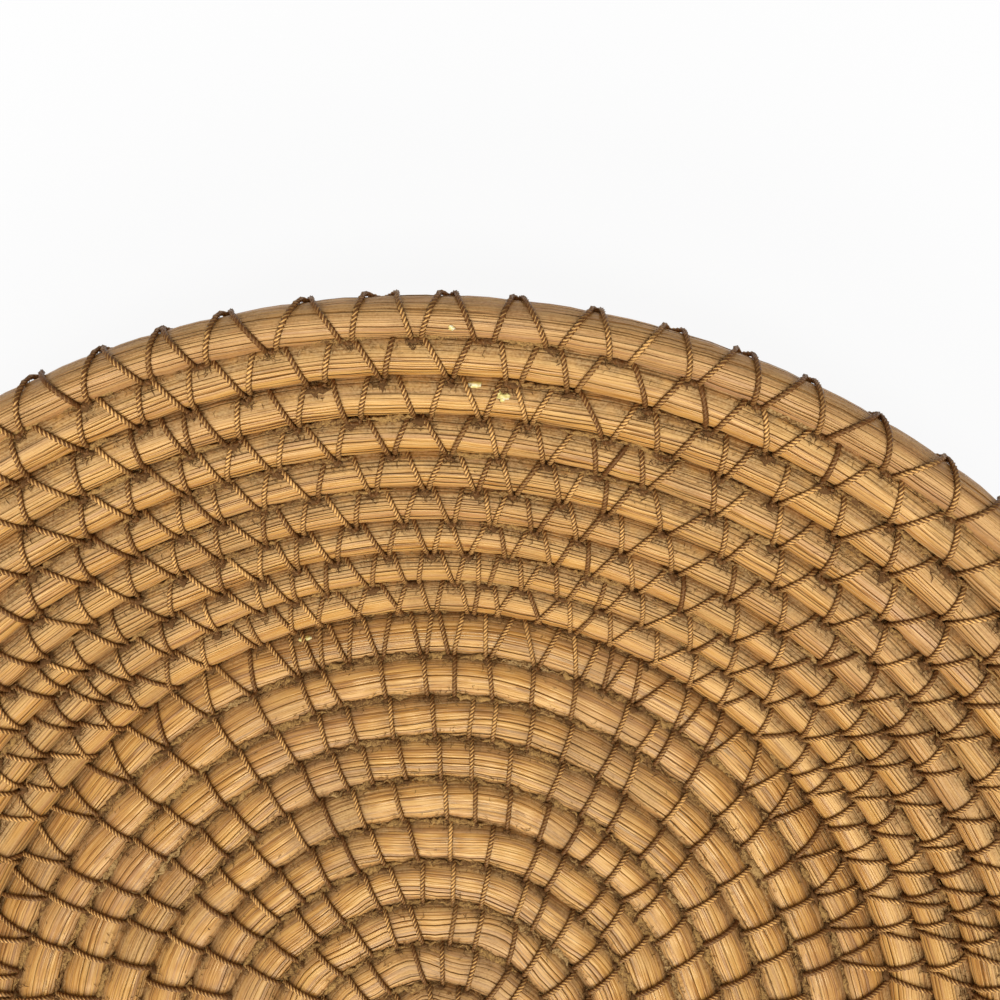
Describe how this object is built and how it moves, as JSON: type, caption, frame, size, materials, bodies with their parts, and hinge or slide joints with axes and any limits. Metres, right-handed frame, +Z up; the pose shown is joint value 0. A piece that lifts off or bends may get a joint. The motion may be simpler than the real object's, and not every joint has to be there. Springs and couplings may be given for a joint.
{
  "type": "coiled pine needle basket",
  "caption": "Shallow flared round bowl coiled from a bundle of pine needles and sewn with dark waxed thread, straight stitches on the base and V stitches up the wall, for holding small things.",
  "frame": {"origin": "where the axis of the coil meets the surface that the basket stands on", "axes": "+Z up, out of the mouth of the bowl; +Y towards the middle of the wall that the picture shows"},
  "size_m": [0.2718, 0.2707, 0.0463],
  "materials": {
    "base_needles": "dry pine needles, waxy, dull brown and tan",
    "wall_needles": "dry pine needles, waxy, golden brown",
    "straight_thread": "twisted waxed thread, brown",
    "v_thread": "twisted waxed thread, dark brown"
  },
  "bodies": {
    "root": {"base_coil": "base_needles", "wall_coil": "wall_needles", "straight_stitches_row_01": "straight_thread", "straight_stitches_row_02": "straight_thread", "straight_stitches_row_03": "straight_thread", "straight_stitches_row_04": "straight_thread", "straight_stitches_row_05": "straight_thread", "straight_stitches_row_06": "straight_thread", "straight_stitches_row_07": "straight_thread", "straight_stitches_row_08": "straight_thread", "straight_stitches_row_09": "straight_thread", "straight_stitches_row_10": "straight_thread", "v_stitches_row_01": "v_thread", "v_stitches_row_02": "v_thread", "v_stitches_row_03": "v_thread", "v_stitches_row_04": "v_thread", "v_stitches_row_05": "v_thread", "v_stitches_row_06": "v_thread", "v_stitches_row_07": "v_thread", "v_stitches_row_08": "v_thread", "v_stitches_row_09": "v_thread", "v_stitches_row_10": "v_thread"}
  },
  "joints": []
}
